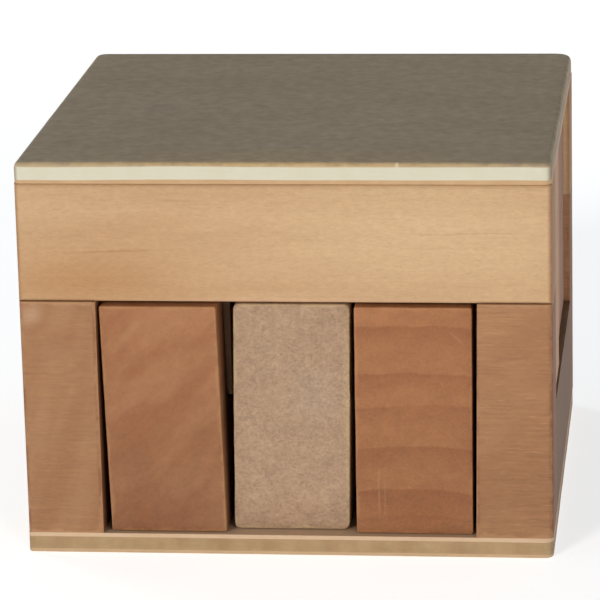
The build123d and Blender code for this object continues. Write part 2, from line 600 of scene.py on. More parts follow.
    @staticmethod
    def _saw_marks(piece: Surface) -> Value:
        """Lay the fine, nearly level lines that a saw leaves in places.

        Args:
            piece: The piece that they are laid on.

        Returns:
            The marks, from 0 to 1.
        """
        noise, place, seed = piece.shader.noise, piece.loose, piece.seed
        lines = noise(place, (0, 0, seed), (9.0, 9.0, 0.5), 3.0, 0.75)
        where = noise(place, (seed, 0, 0), (9.0, 9.0, 5.0), 1.0, 0.5).band(0.35, 0.6)
        dashes = noise(place, (seed, 0, 0), (2.6, 9.0, 0.3), 1.0, 0.5).band(0.6, 0.8)
        return (lines - 0.5) * where + dashes * 0.3 + 0.5

    @staticmethod
    def _flecks(piece: Surface) -> Value:
        """Scatter pale flecks.

        Args:
            piece: The piece that they are laid on.

        Returns:
            The flecks, from 0 to 1.
        """
        noise, seed = piece.shader.noise, piece.seed
        wavy = piece.shader.shaken(piece.place, size=1.2, reach=0.7)
        flecks = noise(wavy, (seed, seed, seed), (0.4, 0.4, 0.6), 2.0, 0.6, FLECK_TURN)
        where = noise(piece.place, (0, seed, 0), (3.0, 3.0, 3.0), 2.0, 0.6)
        return flecks.band(0.56, 0.78) * where.band(0.45, 0.7)

    def _ends(self, piece: Surface) -> Value:
        """Find the two ends of the grain.

        Args:
            piece: The piece.

        Returns:
            1 on the ends and 0 elsewhere.
        """
        reach = piece.size[self.grain.value] / 2
        along = piece.shader.split(piece.place)[self.grain.value]
        start, full = END_FADE
        return piece.shader.math("ABSOLUTE", along).band(reach - start, reach - full)

    @staticmethod
    def _rim(piece: Surface) -> Value:
        """Find the worn edges, where two faces of the piece meet.

        Args:
            piece: The piece.

        Returns:
            1 on the edges and 0 a little way off.
        """
        shader, size, seed = piece.shader, piece.size, piece.seed
        parts = shader.split(piece.place)
        parts[0] = parts[0] - parts[2] * (piece.lean / size.z)
        lengths = [size.x - abs(piece.lean), size.y, size.z]
        gaps = [length / 2 - shader.math("ABSOLUTE", part) for length, part in zip(lengths, parts)]
        nearest, farther = gaps[0].least(gaps[1]), gaps[0].most(gaps[1])
        second = nearest.most(farther.least(gaps[2]))
        where = shader.noise(piece.place, (seed, 0, seed), (4.0, 4.0, 4.0), 3.0, 0.65)
        width = where.band(0.3, 0.72) + 0.15
        return 1 - (second / width).band(0.3, 1.0)


# Modelling

SMOOTH_BELOW = math.radians(34)  # turns sharper than this keep a hard shade
FACE_REACH = 0.35 * MM  # how far off the outermost vertices a face's other vertices lie
PLIES = ("inner_veneer", "core", "outer_veneer")
PLY_SEED_STEP = 3.7  # from the seed of one ply to that of the next


def deselect_all() -> None:
    """Leave edit mode and deselect every object."""
    if bpy.context.object and bpy.context.object.mode != "OBJECT":
        bpy.ops.object.mode_set(mode="OBJECT")
    bpy.ops.object.select_all(action="DESELECT")


class Block:
    """A piece of wood on the bench: a block that is cut, eased and finished."""

    def __init__(self, name: str, low: Vector, high: Vector) -> None:
        """Put a block in its place.

        Args:
            name: The piece's name.
            low: Its lowest corner, in metres.
            high: Its highest corner, in metres.
        """
        deselect_all()
        bpy.ops.mesh.primitive_cube_add(size=1, location=(low + high) / 2)
        self.piece = bpy.context.object
        self.piece.name = name
        self.piece.data.name = name
        self.piece.scale = high - low
        bpy.ops.object.transform_apply(location=True, rotation=False, scale=True)

    def _edit(self) -> bmesh.types.BMesh:
        """Go into edit mode.

        Returns:
            The mesh, for edit mode.
        """
        bpy.context.view_layer.objects.active = self.piece
        if self.piece.mode != "EDIT":
            bpy.ops.object.mode_set(mode="EDIT")
        return bmesh.from_edit_mesh(self.piece.data)

    def select(self, mode: str, test: Callable[[Any], bool]) -> None:
        """Select the vertices, edges or faces that pass a test.

        Args:
            mode: "VERT", "EDGE" or "FACE".
            test: Says of an element whether it is wanted.
        """
        mesh = self._edit()
        bpy.ops.mesh.select_mode(type=mode)
        bpy.ops.mesh.select_all(action="DESELECT")
        elements = {"VERT": mesh.verts, "EDGE": mesh.edges, "FACE": mesh.faces}[mode]
        for element in [element for element in elements if test(element)]:
            element.select_set(True)
        mesh.select_flush_mode()
        bmesh.update_edit_mesh(self.piece.data)

    def cut(self, axis: Axis, at: float) -> None:
        """Score the whole piece across an axis, so that its faces part there.

        Args:
            axis: The axis.
            at: The place along it.
        """
        self._edit()
        bpy.ops.mesh.select_all(action="SELECT")
        bpy.ops.mesh.bisect(plane_co=axis.vector * at, plane_no=axis.vector, threshold=TINY)

    def keep(self, axis: Axis, low: float, high: float) -> None:
        """Saw off all that lies outside two planes.

        Args:
            axis: The axis that the planes lie across.
            low: The place of the lower plane.
            high: The place of the upper plane.
        """
        for at, outwards in ((low, -1), (high, 1)):
            places = [outwards * (vertex.co[axis.value] - at) for vertex in self._edit().verts]
            if max(places) <= TINY:
                continue
            bpy.ops.mesh.select_all(action="SELECT")
            bpy.ops.mesh.bisect(
                plane_co=axis.vector * at,
                plane_no=axis.vector * outwards,
                use_fill=True,
                clear_outer=True,
                threshold=TINY,
            )

    def score(self, axis: Axis, low: float, high: float, pitch: float) -> None:
        """Score the piece at even steps.

        Args:
            axis: The axis that the lines lie across.
            low: Where the steps start.
            high: Where they end.
            pitch: About how long one step is.
        """
        steps = max(1, round((high - low) / pitch))
        for step in range(1, steps):
            self.cut(axis, low + (high - low) * step / steps)

    def extrude(self, offset: Vector) -> None:
        """Draw the selected faces out."""
        bpy.ops.mesh.extrude_region_move(TRANSFORM_OT_translate={"value": offset})

    def slide(self, offset: Vector) -> None:
        """Move what is selected."""
        bpy.ops.transform.translate(value=offset)

    def round_over(self, radius: float, segments: int) -> None:
        """Round the selected edges."""
        bpy.ops.mesh.bevel(offset=radius, segments=segments, affect="EDGES", clamp_overlap=False)

    def group(self, name: str, test: Callable[[Vector], bool]) -> None:
        """Gather vertices in a vertex group.

        Args:
            name: The group's name.
            test: Says of a place whether a vertex there belongs to it.
        """
        bpy.ops.object.mode_set(mode="OBJECT")
        members = [vertex.index for vertex in self.piece.data.vertices if test(vertex.co)]
        self.piece.vertex_groups.new(name=name).add(members, 1.0, "REPLACE")

    def apply(self, kind: str, **settings: Any) -> None:
        """Add a modifier and apply it.

        Args:
            kind: The modifier's type.
            settings: Its settings.
        """
        if self.piece.mode != "OBJECT":
            bpy.ops.object.mode_set(mode="OBJECT")
        bpy.context.view_layer.objects.active = self.piece
        modifier = self.piece.modifiers.new(kind.title(), kind)
        for key, value in settings.items():
            setattr(modifier, key, value)
        bpy.ops.object.modifier_apply(modifier=modifier.name)

    def ease(self, width: float, segments: int, turn: float) -> None:
        """Round every edge that turns by more than so many degrees."""
        limit = {"limit_method": "ANGLE", "angle_limit": math.radians(turn)}
        self.apply("BEVEL", width=width, segments=segments, **limit)

    def sand(self, texture: bpy.types.Texture, depth: float, still: float, **where: Any) -> None:
        """Move the surface in and out by a texture.

        Args:
            texture: How far each place moves.
            depth: How far it moves from the texture's darkest to its lightest level.
            still: The level that stays where it is.
            where: The direction and the vertex group, where it isn't the whole piece.
        """
        where.update(texture=texture, texture_coords="GLOBAL")
        self.apply("DISPLACE", strength=depth, mid_level=still, **where)

    def sink(self, texture: bpy.types.Texture, axis: Axis, depth: float) -> None:
        """Dip the faces that look along an axis.

        Args:
            texture: Where it dips.
            axis: The axis.
            depth: How deep it dips.
        """
        bpy.ops.object.mode_set(mode="OBJECT")
        places = [vertex.co[axis.value] for vertex in self.piece.data.vertices]
        for side, outwards in ((min(places), 1), (max(places), -1)):
            name = f"{axis.name}_{outwards}"
            self.group(name, lambda place, side=side: abs(place[axis.value] - side) < FACE_REACH)
            self.sand(texture, depth * outwards, 0.0, direction=axis.name, vertex_group=name)

    def finish(self, body: str, node: str, material: bpy.types.Material) -> None:
        """Smooth and dress the piece, and put it in the place of its CAD node.

        Args:
            body: The body that it rides on.
            node: The CAD node that it stands for.
            material: Its finish.
        """
        self._edit()
        bpy.ops.mesh.select_all(action="SELECT")
        bpy.ops.mesh.normals_make_consistent(inside=False)
        bpy.ops.object.mode_set(mode="OBJECT")
        self.piece.data.materials.clear()
        self.piece.data.materials.append(material)
        self.piece.select_set(True)
        bpy.ops.object.shade_smooth_by_angle(angle=SMOOTH_BELOW)
        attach(self.piece, body)
        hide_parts(node)
        LOG.info("%s: %d faces, rides on %s", node, len(self.piece.data.polygons), body)


def hand_finish(name: str, size: float) -> bpy.types.Texture:
    """A cloud texture for the slight unevenness of hand work.

    Args:
        name: The texture's name.
        size: Width of its clouds, in metres.

    Returns:
        The texture.
    """
    clouds = bpy.data.textures.new(name, "CLOUDS")
    clouds.noise_scale = size
    clouds.noise_depth = 2
    return clouds


@dataclass
class Plate:
    """A plate of three-ply board: two face veneers and a core.

    Attributes:
        prefix: Start of the names of its CAD nodes.
        outer_on_top: Whether its outer face looks up.
        woods: The finish of the inner veneer, the core and the outer veneer.
        corners: Radius of its corners, seen from above, by their sides along X and Y.
        arris: Rounding of its outer edge.
        pitch: Distance between scored lines.
        glue_drift: How far the glue lines wander up and down.
        unevenness: How deep sanding dips its edge.
    """

    prefix: str
    outer_on_top: bool
    woods: tuple[Wood, Wood, Wood]
    corners: dict[tuple[int, int], float]
    arris: float = 1.0 * MM
    pitch: float = 2.5 * MM
    glue_drift: float = 0.5 * MM
    unevenness: float = 0.1 * MM

    def build(self, seed: float) -> None:
        """Model and dress the three plies.

        Args:
            seed: A number that sets their patterns apart from those of other pieces.
        """
        drift = hand_finish(f"{self.prefix}_glue_lines", 30 * MM)
        sanding = hand_finish(f"{self.prefix}_sanding", 9 * MM)
        glue_lines = [corner.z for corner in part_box(f"{self.prefix}_core")]
        for number, (ply, wood) in enumerate(zip(PLIES, self.woods)):
            node = f"{self.prefix}_{ply}"
            low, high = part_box(node)
            block = self._blank(f"{node}_wood")
            block.keep(Axis.Z, low.z, high.z)
            block.group("glue_line", lambda place: any(abs(place.z - at) < TINY for at in glue_lines))
            block.sand(drift, self.glue_drift, 0.5, direction="Z", vertex_group="glue_line")
            for axis in (Axis.X, Axis.Y):
                block.sink(sanding, axis, self.unevenness)
            material = wood.build(f"{node} finish", low, high, seed + number * PLY_SEED_STEP)
            block.finish("cage", node, material)

    def _blank(self, name: str) -> Block:
        """Make the whole plate, its corners and its outer edge rounded and its faces scored.

        Args:
            name: The name of the piece.

        Returns:
            The plate.
        """
        boxes = [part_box(f"{self.prefix}_{ply}") for ply in PLIES]
        low = Vector([min(box[0][axis] for box in boxes) for axis in range(3)])
        high = Vector([max(box[1][axis] for box in boxes) for axis in range(3)])
        block = Block(name, low, high)
        for (right, back), radius in self.corners.items():
            block.select(
                "EDGE",
                lambda edge, right=right, back=back: abs(edge.verts[0].co.z - edge.verts[1].co.z) > TINY
                and edge.verts[0].co.x * right > high.x - TINY
                and edge.verts[0].co.y * back > high.y - TINY,
            )
            block.round_over(radius, segments=7)
        outer = high.z if self.outer_on_top else low.z
        block.select("EDGE", lambda edge: all(abs(vertex.co.z - outer) < TINY for vertex in edge.verts))
        block.round_over(self.arris, segments=5)
        inset = max(self.corners.values()) + 1 * MM
        for axis in (Axis.X, Axis.Y):
            start, end = low[axis.value] + inset, high[axis.value] - inset
            block.cut(axis, start)
            block.cut(axis, end)
            block.score(axis, start, end, self.pitch)
        return block


@dataclass
class Board:
    """A glued board of the cage: a post, a sill or a rail.

    Attributes:
        node: The CAD node that it stands for.
        wood: Its finish.
        arris: Rounding of its edges.
        corner: Rounding of its edges at the corners of the box.
        pitch: Distance between scored lines.
        unevenness: How deep hand sanding dips its faces.
        splay: How far its inner face leans away from the sticks at its top.
    """

    node: str
    wood: Wood
    arris: float = 0.03 * MM
    corner: float = 1.0 * MM
    pitch: float = 4 * MM
    unevenness: float = 0.05 * MM
    splay: float = 0.0

    def build(self, seed: float) -> None:
        """Model and dress the board.

        Args:
            seed: A number that sets its pattern apart from those of other pieces.
        """
        low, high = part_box(self.node)
        block = Block(f"{self.node}_wood", low, high)
        if self.splay:
            reach, top = CAD_BOUNDS[1].x - TINY, high.z - TINY
            block.select("VERT", lambda vertex: abs(vertex.co.x) < reach and vertex.co.z > top)
            block.slide(Vector((math.copysign(self.splay, low.x + high.x), 0, 0)))
        block.select("EDGE", lambda edge: all(self._at_corner(vertex.co) for vertex in edge.verts))
        block.round_over(self.corner, segments=5)
        for axis in Axis:
            block.score(axis, low[axis.value], high[axis.value], self.pitch)
        block.ease(self.arris, segments=2, turn=50)
        block.sand(hand_finish(f"{self.node}_sanding", 12 * MM), self.unevenness, 1.0)
        block.finish("cage", self.node, self.wood.build(f"{self.node} finish", low, high, seed))

    @staticmethod
    def _at_corner(place: Vector) -> bool:
        """Whether a place is on one of the four upright corners of the box."""
        return all(abs(abs(place[number]) - CAD_BOUNDS[1][number]) < TINY for number in range(2))


class Notch(Enum):
    """Which side of a stick is notched."""

    NONE = 0
    TOP = 1
    UNDERNEATH = -1


@dataclass
class Stick:
    """A sliding stick.

    Attributes:
        node: The CAD node and the body that it stands for.
        along: Axis that it runs along.
        notch: Which side is notched.
        notch_length: Length of the notch.
        wood: Its finish.
        arris: Rounding of its long edges.
        end_arris: Rounding of its other edges.
        pitch: Distance between lines scored round it.
        fine_pitch: Distance between lines scored along it.
        unevenness: How deep hand sanding dips its faces.
        fuzz: How deep the rough saw cut of its ends is.
    """

    node: str
    along: Axis
    notch: Notch
    notch_length: float
    wood: Wood
    arris: float = 0.42 * MM
    end_arris: float = 0.3 * MM
    pitch: float = 3.0 * MM
    fine_pitch: float = 1.0 * MM
    unevenness: float = 0.12 * MM
    fuzz: float = 0.0

    def build(self, seed: float) -> None:
        """Model and dress the stick.

        Args:
            seed: A number that sets its pattern apart from those of other pieces.
        """
        low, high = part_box(self.node)
        lean = self._lean()
        low.x, high.x = low.x + abs(lean) / 2, high.x - abs(lean) / 2
        block = self._blank(low, high)
        middle = (low.z + high.z) / 2
        for level in (low.z, middle, high.z):
            block.select("VERT", lambda vertex, level=level: abs(vertex.co.z - level) < TINY)
            block.slide(Vector((lean * (level - middle) / (high.z - low.z), 0, 0)))
        block.select("EDGE", lambda edge: self._is_long(edge, (low.z, high.z)))
        block.round_over(self.arris, segments=4)
        across = Axis.X if self.along is Axis.Y else Axis.Y
        for axis, pitch in ((self.along, self.pitch), (across, self.fine_pitch), (Axis.Z, self.fine_pitch)):
            block.score(axis, low[axis.value], high[axis.value], pitch)
        block.ease(self.end_arris, segments=3, turn=40)
        block.sand(hand_finish(f"{self.node}_sanding", 6 * MM), self.unevenness, 1.0)
        if self.fuzz:
            block.sink(hand_finish(f"{self.node}_saw_cut", 1.3 * MM), self.along, self.fuzz)
            block.sink(hand_finish(f"{self.node}_edge_wear", 1.7 * MM), across, self.fuzz)
        material = self.wood.build(f"{self.node} finish", *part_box(self.node), seed, lean)
        block.finish(self.node, self.node, material)

    def _lean(self) -> float:
        """Measure the CAD node.

        Returns:
            How far its top lies to the right of its foot.
        """
        places = [vertex.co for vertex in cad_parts[self.node].data.vertices]
        low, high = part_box(self.node)

        def centre_at(level: float) -> float:
            """Middle of the node from left to right at a height."""
            across = [place.x for place in places if abs(place.z - level) < 0.01 * MM]
            return (min(across) + max(across)) / 2

        return centre_at(high.z) - centre_at(low.z)

    def _blank(self, low: Vector, high: Vector) -> Block:
        """Make the stick with its notch, still square-edged and upright.

        Args:
            low: Its lowest corner.
            high: Its highest corner.

        Returns:
            The stick.
        """
        if self.notch is Notch.NONE:
            return Block(f"{self.node}_wood", low, high)
        depth = (high.z - low.z) / 2
        bar_low, bar_high = low.copy(), high.copy()
        if self.notch is Notch.TOP:
            bar_high.z -= depth
            face = bar_high.z
        else:
            bar_low.z += depth
            face = bar_low.z
        block = Block(f"{self.node}_wood", bar_low, bar_high)
        middle = (low + high)[self.along.value] / 2
        reach = self.notch_length / 2
        for wall in (middle - reach, middle + reach):
            block.cut(self.along, wall)
        for side in (-1, 1):
            block.select(
                "FACE",
                lambda part, side=side: abs(part.calc_center_median().z - face) < TINY
                and side * (part.calc_center_median()[self.along.value] - middle) > reach,
            )
            block.extrude(Vector((0, 0, depth * self.notch.value)))
        return block

    def _is_long(self, edge: bmesh.types.BMEdge, levels: tuple[float, float]) -> bool:
        """Say whether an edge is one of the stick's long edges.

        Args:
            edge: The edge.
            levels: The heights of the stick's foot and top.

        Returns:
            Whether it is.
        """
        first, second = (vertex.co for vertex in edge.verts)
        run = first - second
        straight = abs(run[self.along.value]) > run.length * 0.99
        at_level = any(abs(first.z - level) < TINY for level in levels)
        sharp = len(edge.link_faces) == 2 and edge.calc_face_angle(0) > math.radians(60)
        return straight and at_level and sharp


@dataclass(frozen=True)
class Lamp:
    """A broad, even light.

    Attributes:
        name: Its name.
        towards: The direction from the box to it.
        strength: Its strength.
        colour: Its colour.
        softness: How wide it looks from the box, in degrees.
    """

    name: str
    towards: tuple[float, float, float]
    strength: float
    colour: Colour
    softness: float

    def hang(self) -> None:
        """Hang the light."""
        bpy.ops.object.light_add(type="SUN", location=self.towards)
        light = bpy.context.object
        light.name = self.name
        light.rotation_euler = Vector(self.towards).to_track_quat("Z", "Y").to_euler()
        light.data.energy = self.strength
        light.data.color = self.colour
        light.data.angle = math.radians(self.softness)


@dataclass
class Studio:
    """Floor, light and camera.

    Attributes:
        aim: The point that the camera looks at.
        distance: How far off the camera stands.
        azimuth: How far it stands to the right of the front, in degrees.
        elevation: How far it looks down, in degrees.
        roll: How far it leans over to the right, in degrees.
        lens: Focal length in millimetres, on a frame 36 mm wide.
        nearest: How near to the camera a thing may be and still be seen.
        lamps: Its lights.
        sky: Colour of the light from all round.
        floor_size: Length and width of the floor.
        floor_tone: Colour of the floor.
        floor_roughness: How matt it is.
        floor_glow: Colour of the light that it gives.
        glow_strength: Strength of that light.
    """

    aim: Vector = field(default_factory=lambda: Vector((-2.2, -0.6, 32.9)) * MM)
    distance: float = 673.1 * MM
    azimuth: float = 6.46
    elevation: float = 15.4
    roll: float = 1.37
    lens: float = 224.9
    nearest: float = 10 * MM
    lamps: tuple[Lamp, ...] = (
        Lamp("left_light", (-0.5, -1, 0.36), 1.5, (1.0, 0.94, 0.84), 14),
        Lamp("right_light", (0.5, -1, 0.3), 0.72, (1.0, 0.93, 0.82), 10),
        Lamp("back_light", (-1, 0.8, 0.35), 0.7, (1.0, 0.97, 0.92), 25),
    )
    sky: Colour = (0.26, 0.268, 0.282)
    floor_size: float = 8.0
    floor_tone: Colour = (0.8, 0.8, 0.8)
    floor_roughness: float = 0.9
    floor_glow: Colour = (0.95, 0.98, 1.0)
    glow_strength: float = 0.62

    def build(self) -> None:
        """Set up the whole studio."""
        self._camera()
        self._floor()
        for lamp in self.lamps:
            lamp.hang()
        self._sky()
        bpy.context.scene.view_settings.view_transform = "Standard"
        LOG.info("studio: camera %.0f mm away", self.distance / MM)

    def _camera(self) -> None:
        """Stand the camera in front of the box."""
        bpy.ops.object.camera_add()
        camera = bpy.context.object
        camera.name = "camera"
        turn = Matrix.Rotation(math.radians(self.azimuth), 4, "Z")
        tilt = Matrix.Rotation(math.radians(90 - self.elevation), 4, "X")
        lean = Matrix.Rotation(math.radians(-self.roll), 4, "Z")
        away = Matrix.Translation((0, 0, self.distance))
        camera.matrix_world = Matrix.Translation(self.aim) @ (turn @ tilt @ lean) @ away
        camera.data.lens = self.lens
        camera.data.clip_start = self.nearest
        bpy.context.scene.camera = camera

    def _floor(self) -> None:
        """Lay a pale floor that is lit through, as on a light table."""
        deselect_all()
        bpy.ops.mesh.primitive_plane_add(size=self.floor_size, location=(0, 0, 0))
        floor = bpy.context.object
        floor.name = "floor"
        shader = Shader("pale floor")
        shader.feed(shader.surface.inputs["Base Color"], self.floor_tone)
        shader.feed(shader.surface.inputs["Roughness"], self.floor_roughness)
        shader.feed(shader.surface.inputs["Emission Color"], self.floor_glow)
        shader.feed(shader.surface.inputs["Emission Strength"], self.glow_strength)
        floor.data.materials.append(shader.material)

    def _sky(self) -> None:
        """Light the box evenly from all round."""
        world = bpy.data.worlds.new("even light")
        world.use_nodes = True
        world.node_tree.nodes["Background"].inputs["Color"].default_value = (*self.sky, 1)
        bpy.context.scene.world = world


PALE_SCRATCH = tone(200, 158, 124)


@dataclass(frozen=True)
class Finishes:
    """The woods of the box."""

    # Outer veneer of the top plate. Its grey-brown tone is painted shade: the top lies in shade under the
    # frontal light. The golden band along its front edge gives back the veneer's own tan tone at that lit
    # edge.
    face_veneer: Wood = Wood(
        early=tone(157, 145, 124),
        late=tone(138, 126, 107),
        cloud=tone(150, 135, 115),
        worn=tone(202, 174, 129),
        cloud_size=(40.0, 14.0, 14.0),
        cloud_share=0.5,
        mottle_share=0.6,
        fibre_share=0.05,
        speckle_share=0.45,
        fleck_share=0.03,
        rim_share=0.35,
        marks=(
            Mark((0.0, -44.6, 0.0), (60.0, 1.1, 9.0), tone(195, 166, 121), 0.75),
            Mark((0.0, -40.0, 0.0), (60.0, 9.0, 9.0), tone(174, 151, 115), 0.3),
            Mark((19.4, -45.0, 0.1), (0.5, 1.4, 0.9), tone(237, 229, 201), 0.9),
            Mark((-24.0, 6.0, 0.0), (9.0, 0.25, 9.0), tone(181, 168, 143), 0.35, 24.0, Axis.Z),
            Mark((-19.0, -17.0, 0.0), (7.0, 0.2, 9.0), tone(181, 168, 143), 0.3, -12.0, Axis.Z),
        ),
    )
    inner_veneer: Wood = Wood(
        early=tone(192, 164, 136),
        late=tone(166, 134, 102),
        cloud=tone(182, 152, 120),
        worn=tone(200, 176, 148),
        cloud_size=(12.0, 16.0, 9.0),
        rim_share=0.2,
        fleck_share=0.05,
    )
    foot_veneer: Wood = Wood(
        early=tone(176, 148, 116),
        late=tone(156, 124, 92),
        cloud=tone(166, 136, 104),
        worn=tone(188, 162, 130),
        cloud_size=(20.0, 16.0, 9.0),
        rim_share=0.3,
    )
    dark_veneer: Wood = replace(
        inner_veneer,
        early=tone(190, 157, 120),
        late=tone(170, 133, 95),
        cloud=tone(178, 142, 104),
        worn=tone(180, 144, 108),
        cloud_size=(6.0, 16.0, 9.0),
    )
    cream_core: Wood = Wood(
        early=tone(201, 197, 179),
        late=tone(187, 179, 155),
        cloud=tone(195, 191, 168),
        worn=tone(208, 205, 185),
        cloud_size=(5.0, 16.0, 9.0),
        cloud_share=0.4,
        mottle_share=0.05,
        fibre_share=0.05,
        speckle_share=0.05,
        fleck_share=0.0,
        rim_share=0.0,
        # The brown end tone on the plate's left and right edges is partly end grain and partly painted
        # shade of those shaded side edges.
        end_share=0.85,
        end=tone(139, 113, 88),
    )
    tan_core: Wood = Wood(
        early=tone(159, 134, 100),
        late=tone(133, 103, 70),
        cloud=tone(148, 119, 85),
        worn=tone(168, 142, 109),
        cloud_size=(4.0, 16.0, 9.0),
        cloud_share=0.9,
        mottle_share=0.34,
        rim_share=0.1,
        end_share=0.7,
        end=tone(151, 119, 89),
        marks=(Mark((24.0, 0.0, 0.0), (40.0, 99.0, 99.0), tone(170, 144, 114), 0.2),),
    )
    rail: Wood = Wood(
        early=tone(187, 154, 118),
        late=tone(157, 117, 78),
        cloud=tone(176, 140, 103),
        worn=tone(200, 168, 133),
        pith=(0.0, -120.0),
        rings=(Ring(-6.5, 0.16, 3.5), Ring(2.2, 0.12, 4.0), Ring(8.2, 0.1, 2.5)),
        wander=2.4,
        cloud_size=(34.0, 16.0, 5.0),
        cloud_share=0.4,
        slant=5.0,
        mottle_share=0.16,
        fibre_share=0.14,
        speckle_share=0.34,
        fleck_share=0.1,
        rim_share=0.15,
        # The darker end tone, on the rail's ends at the box's sides, is partly end grain and partly painted
        # shade of those sides.
        end=tone(150, 107, 70),
        end_share=0.9,
        speckle_size=0.34,
        marks=(
            Mark((-33.0, 0.0, -6.4), (30.0, 30.0, 9.0), tone(169, 126, 85), 0.95),
            Mark((26.0, 0.0, 2.0), (46.0, 30.0, 16.0), tone(205, 175, 138), 0.55),
            Mark((-27.0, 0.0, 2.6), (22.0, 30.0, 3.4), tone(173, 134, 98), 0.5, 8.0),
            Mark((-28.5, 0.0, -1.4), (12.0, 30.0, 0.35), tone(148, 104, 68), 0.5, 2.5),
            Mark((-17.5, 0.0, 7.4), (6.0, 30.0, 0.35), tone(153, 110, 73), 0.35, -2.0),
            Mark((0.0, 0.0, -9.9), (34.0, 30.0, 0.8), tone(202, 161, 133), 0.6),
            Mark((32.0, 0.0, 1.8), (14.0, 30.0, 0.2), tone(157, 117, 82), 0.35, 1.0),
            Mark((21.0, 0.0, -4.2), (10.0, 30.0, 0.18), tone(210, 179, 147), 0.35, -1.5),
        ),
    )
    # The sill's dark tone is partly its wood and partly painted shade: its outer face is the box's shaded
    # side.
    sill: Wood = Wood(
        early=tone(113, 80, 49),
        late=tone(98, 66, 36),
        cloud=tone(106, 72, 42),
        worn=tone(124, 86, 53),
        grain=Axis.Y,
        cloud_size=(9.0, 30.0, 5.0),
        speckle_share=0.2,
        mottle_share=0.2,
    )
    left_post: Wood = Wood(
        early=tone(153, 113, 80),
        late=tone(133, 89, 58),
        cloud=tone(140, 97, 65),
        worn=tone(178, 138, 100),
        cloud_size=(20.0, 30.0, 5.0),
        cloud_share=0.6,
        slant=72.0,
        saw_share=0.45,
        fade=0.1,
        # The darker end tone is partly end grain and partly painted shade: one end of the post is the box's
        # shaded side.
        end=tone(125, 77, 47),
        end_share=0.8,
        speckle_share=0.26,
        marks=(
            Mark((-4.6, -6.0, 18.3), (3.4, 8.0, 2.8), tone(169, 135, 107), 0.8, 35.0),
            Mark((0.6, -6.0, 14.0), (5.0, 8.0, 3.4), tone(133, 87, 57), 0.35, 20.0),
        ),
    )
    right_post: Wood = Wood(
        early=tone(151, 110, 77),
        late=tone(128, 86, 55),
        cloud=tone(137, 94, 63),
        worn=tone(173, 133, 98),
        cloud_size=(12.0, 30.0, 7.0),
        cloud_share=0.5,
        slant=8.0,
        saw_share=0.75,
        fade=0.2,
        fleck_share=0.16,
        # The darker end tone is partly end grain and partly painted shade: one end of the post is the box's
        # shaded side.
        end=tone(124, 76, 46),
        end_share=0.8,
        speckle_share=0.26,
    )
    left_stick: Wood = Wood(
        early=tone(147, 102, 70),
        late=tone(123, 76, 47),
        cloud=tone(132, 83, 52),
        worn=tone(172, 127, 86),
        grain=Axis.Y,
        cloud_size=(16.0, 40.0, 4.5),
        cloud_share=0.65,
        slant=43.0,
        mottle_share=0.3,
        speckle_share=0.3,
        fade=0.34,
        fleck_share=0.16,
        marks=(
            Mark((0.0, 0.0, -18.0), (15.0, 99.0, 9.0), tone(121, 66, 37), 0.7),
            Mark((-6.0, 0.0, -7.0), (6.5, 99.0, 7.0), tone(125, 78, 49), 0.55),
            Mark((-4.4, 0.0, 8.2), (3.6, 99.0, 1.8), tone(132, 81, 50), 0.5, 12.0),
            Mark((-5.0, 0.0, 15.6), (7.0, 99.0, 1.3), tone(164, 123, 86), 0.4, 48.0),
            Mark((2.0, 0.0, -5.0), (9.0, 99.0, 1.6), tone(154, 110, 77), 0.35, 42.0),
        ),
    )
    right_stick: Wood = Wood(
        early=tone(149, 101, 66),
        late=tone(119, 68, 41),
        cloud=tone(136, 86, 56),
        worn=tone(169, 121, 83),
        grain=Axis.Y,
        rings=(
            Ring(-16.8, 0.3, 0.8),
            Ring(-12.0, 0.6, 4.4),
            Ring(-4.4, 0.5, 5.0),
            Ring(2.8, 0.36, 4.0),
            Ring(8.4, 0.5, 3.4),
            Ring(16.8, 0.5, 5.0),
        ),
        wander=0.7,
        cloud_size=(9.0, 40.0, 5.0),
        cloud_share=0.35,
        speckle_share=0.42,
        fleck_share=0.34,
        fade=0.2,
        mottle_share=0.34,
        marks=(
            Mark((0.0, 0.0, -17.0), (14.0, 99.0, 8.0), tone(121, 65, 34), 0.55),
            Mark((-6.0, -40.0, -12.5), (0.3, 8.0, 8.0), PALE_SCRATCH, 0.28),
            Mark((-5.0, -40.0, -13.5), (0.25, 8.0, 6.5), PALE_SCRATCH, 0.2),
            Mark((7.4, -40.0, 14.6), (3.0, 8.0, 0.25), PALE_SCRATCH, 0.25, -42.0),
            Mark((5.8, -40.0, 12.2), (2.2, 8.0, 0.2), PALE_SCRATCH, 0.18, -50.0),
        ),
    )
    key: Wood = Wood(
        early=tone(161, 134, 110),
        late=tone(135, 107, 82),
        cloud=tone(148, 122, 99),
        worn=tone(186, 163, 126),
        grain=Axis.Y,
        cloud_size=(7.0, 40.0, 5.0),
        cloud_share=0.45,
        mottle_share=0.4,
        fibre_share=0.1,
        speckle_share=0.95,
        speckle_size=0.42,
        fleck_share=0.16,
        rim_share=0.45,
        marks=(
            Mark((4.0, 0.0, 4.0), (7.0, 99.0, 8.0), tone(159, 140, 120), 0.6),
            Mark((0.0, 0.0, -17.0), (14.0, 99.0, 5.0), tone(162, 127, 105), 0.5),
            Mark((9.9, 0.0, 0.0), (1.5, 99.0, 40.0), tone(186, 163, 120), 0.7),
        ),
    )
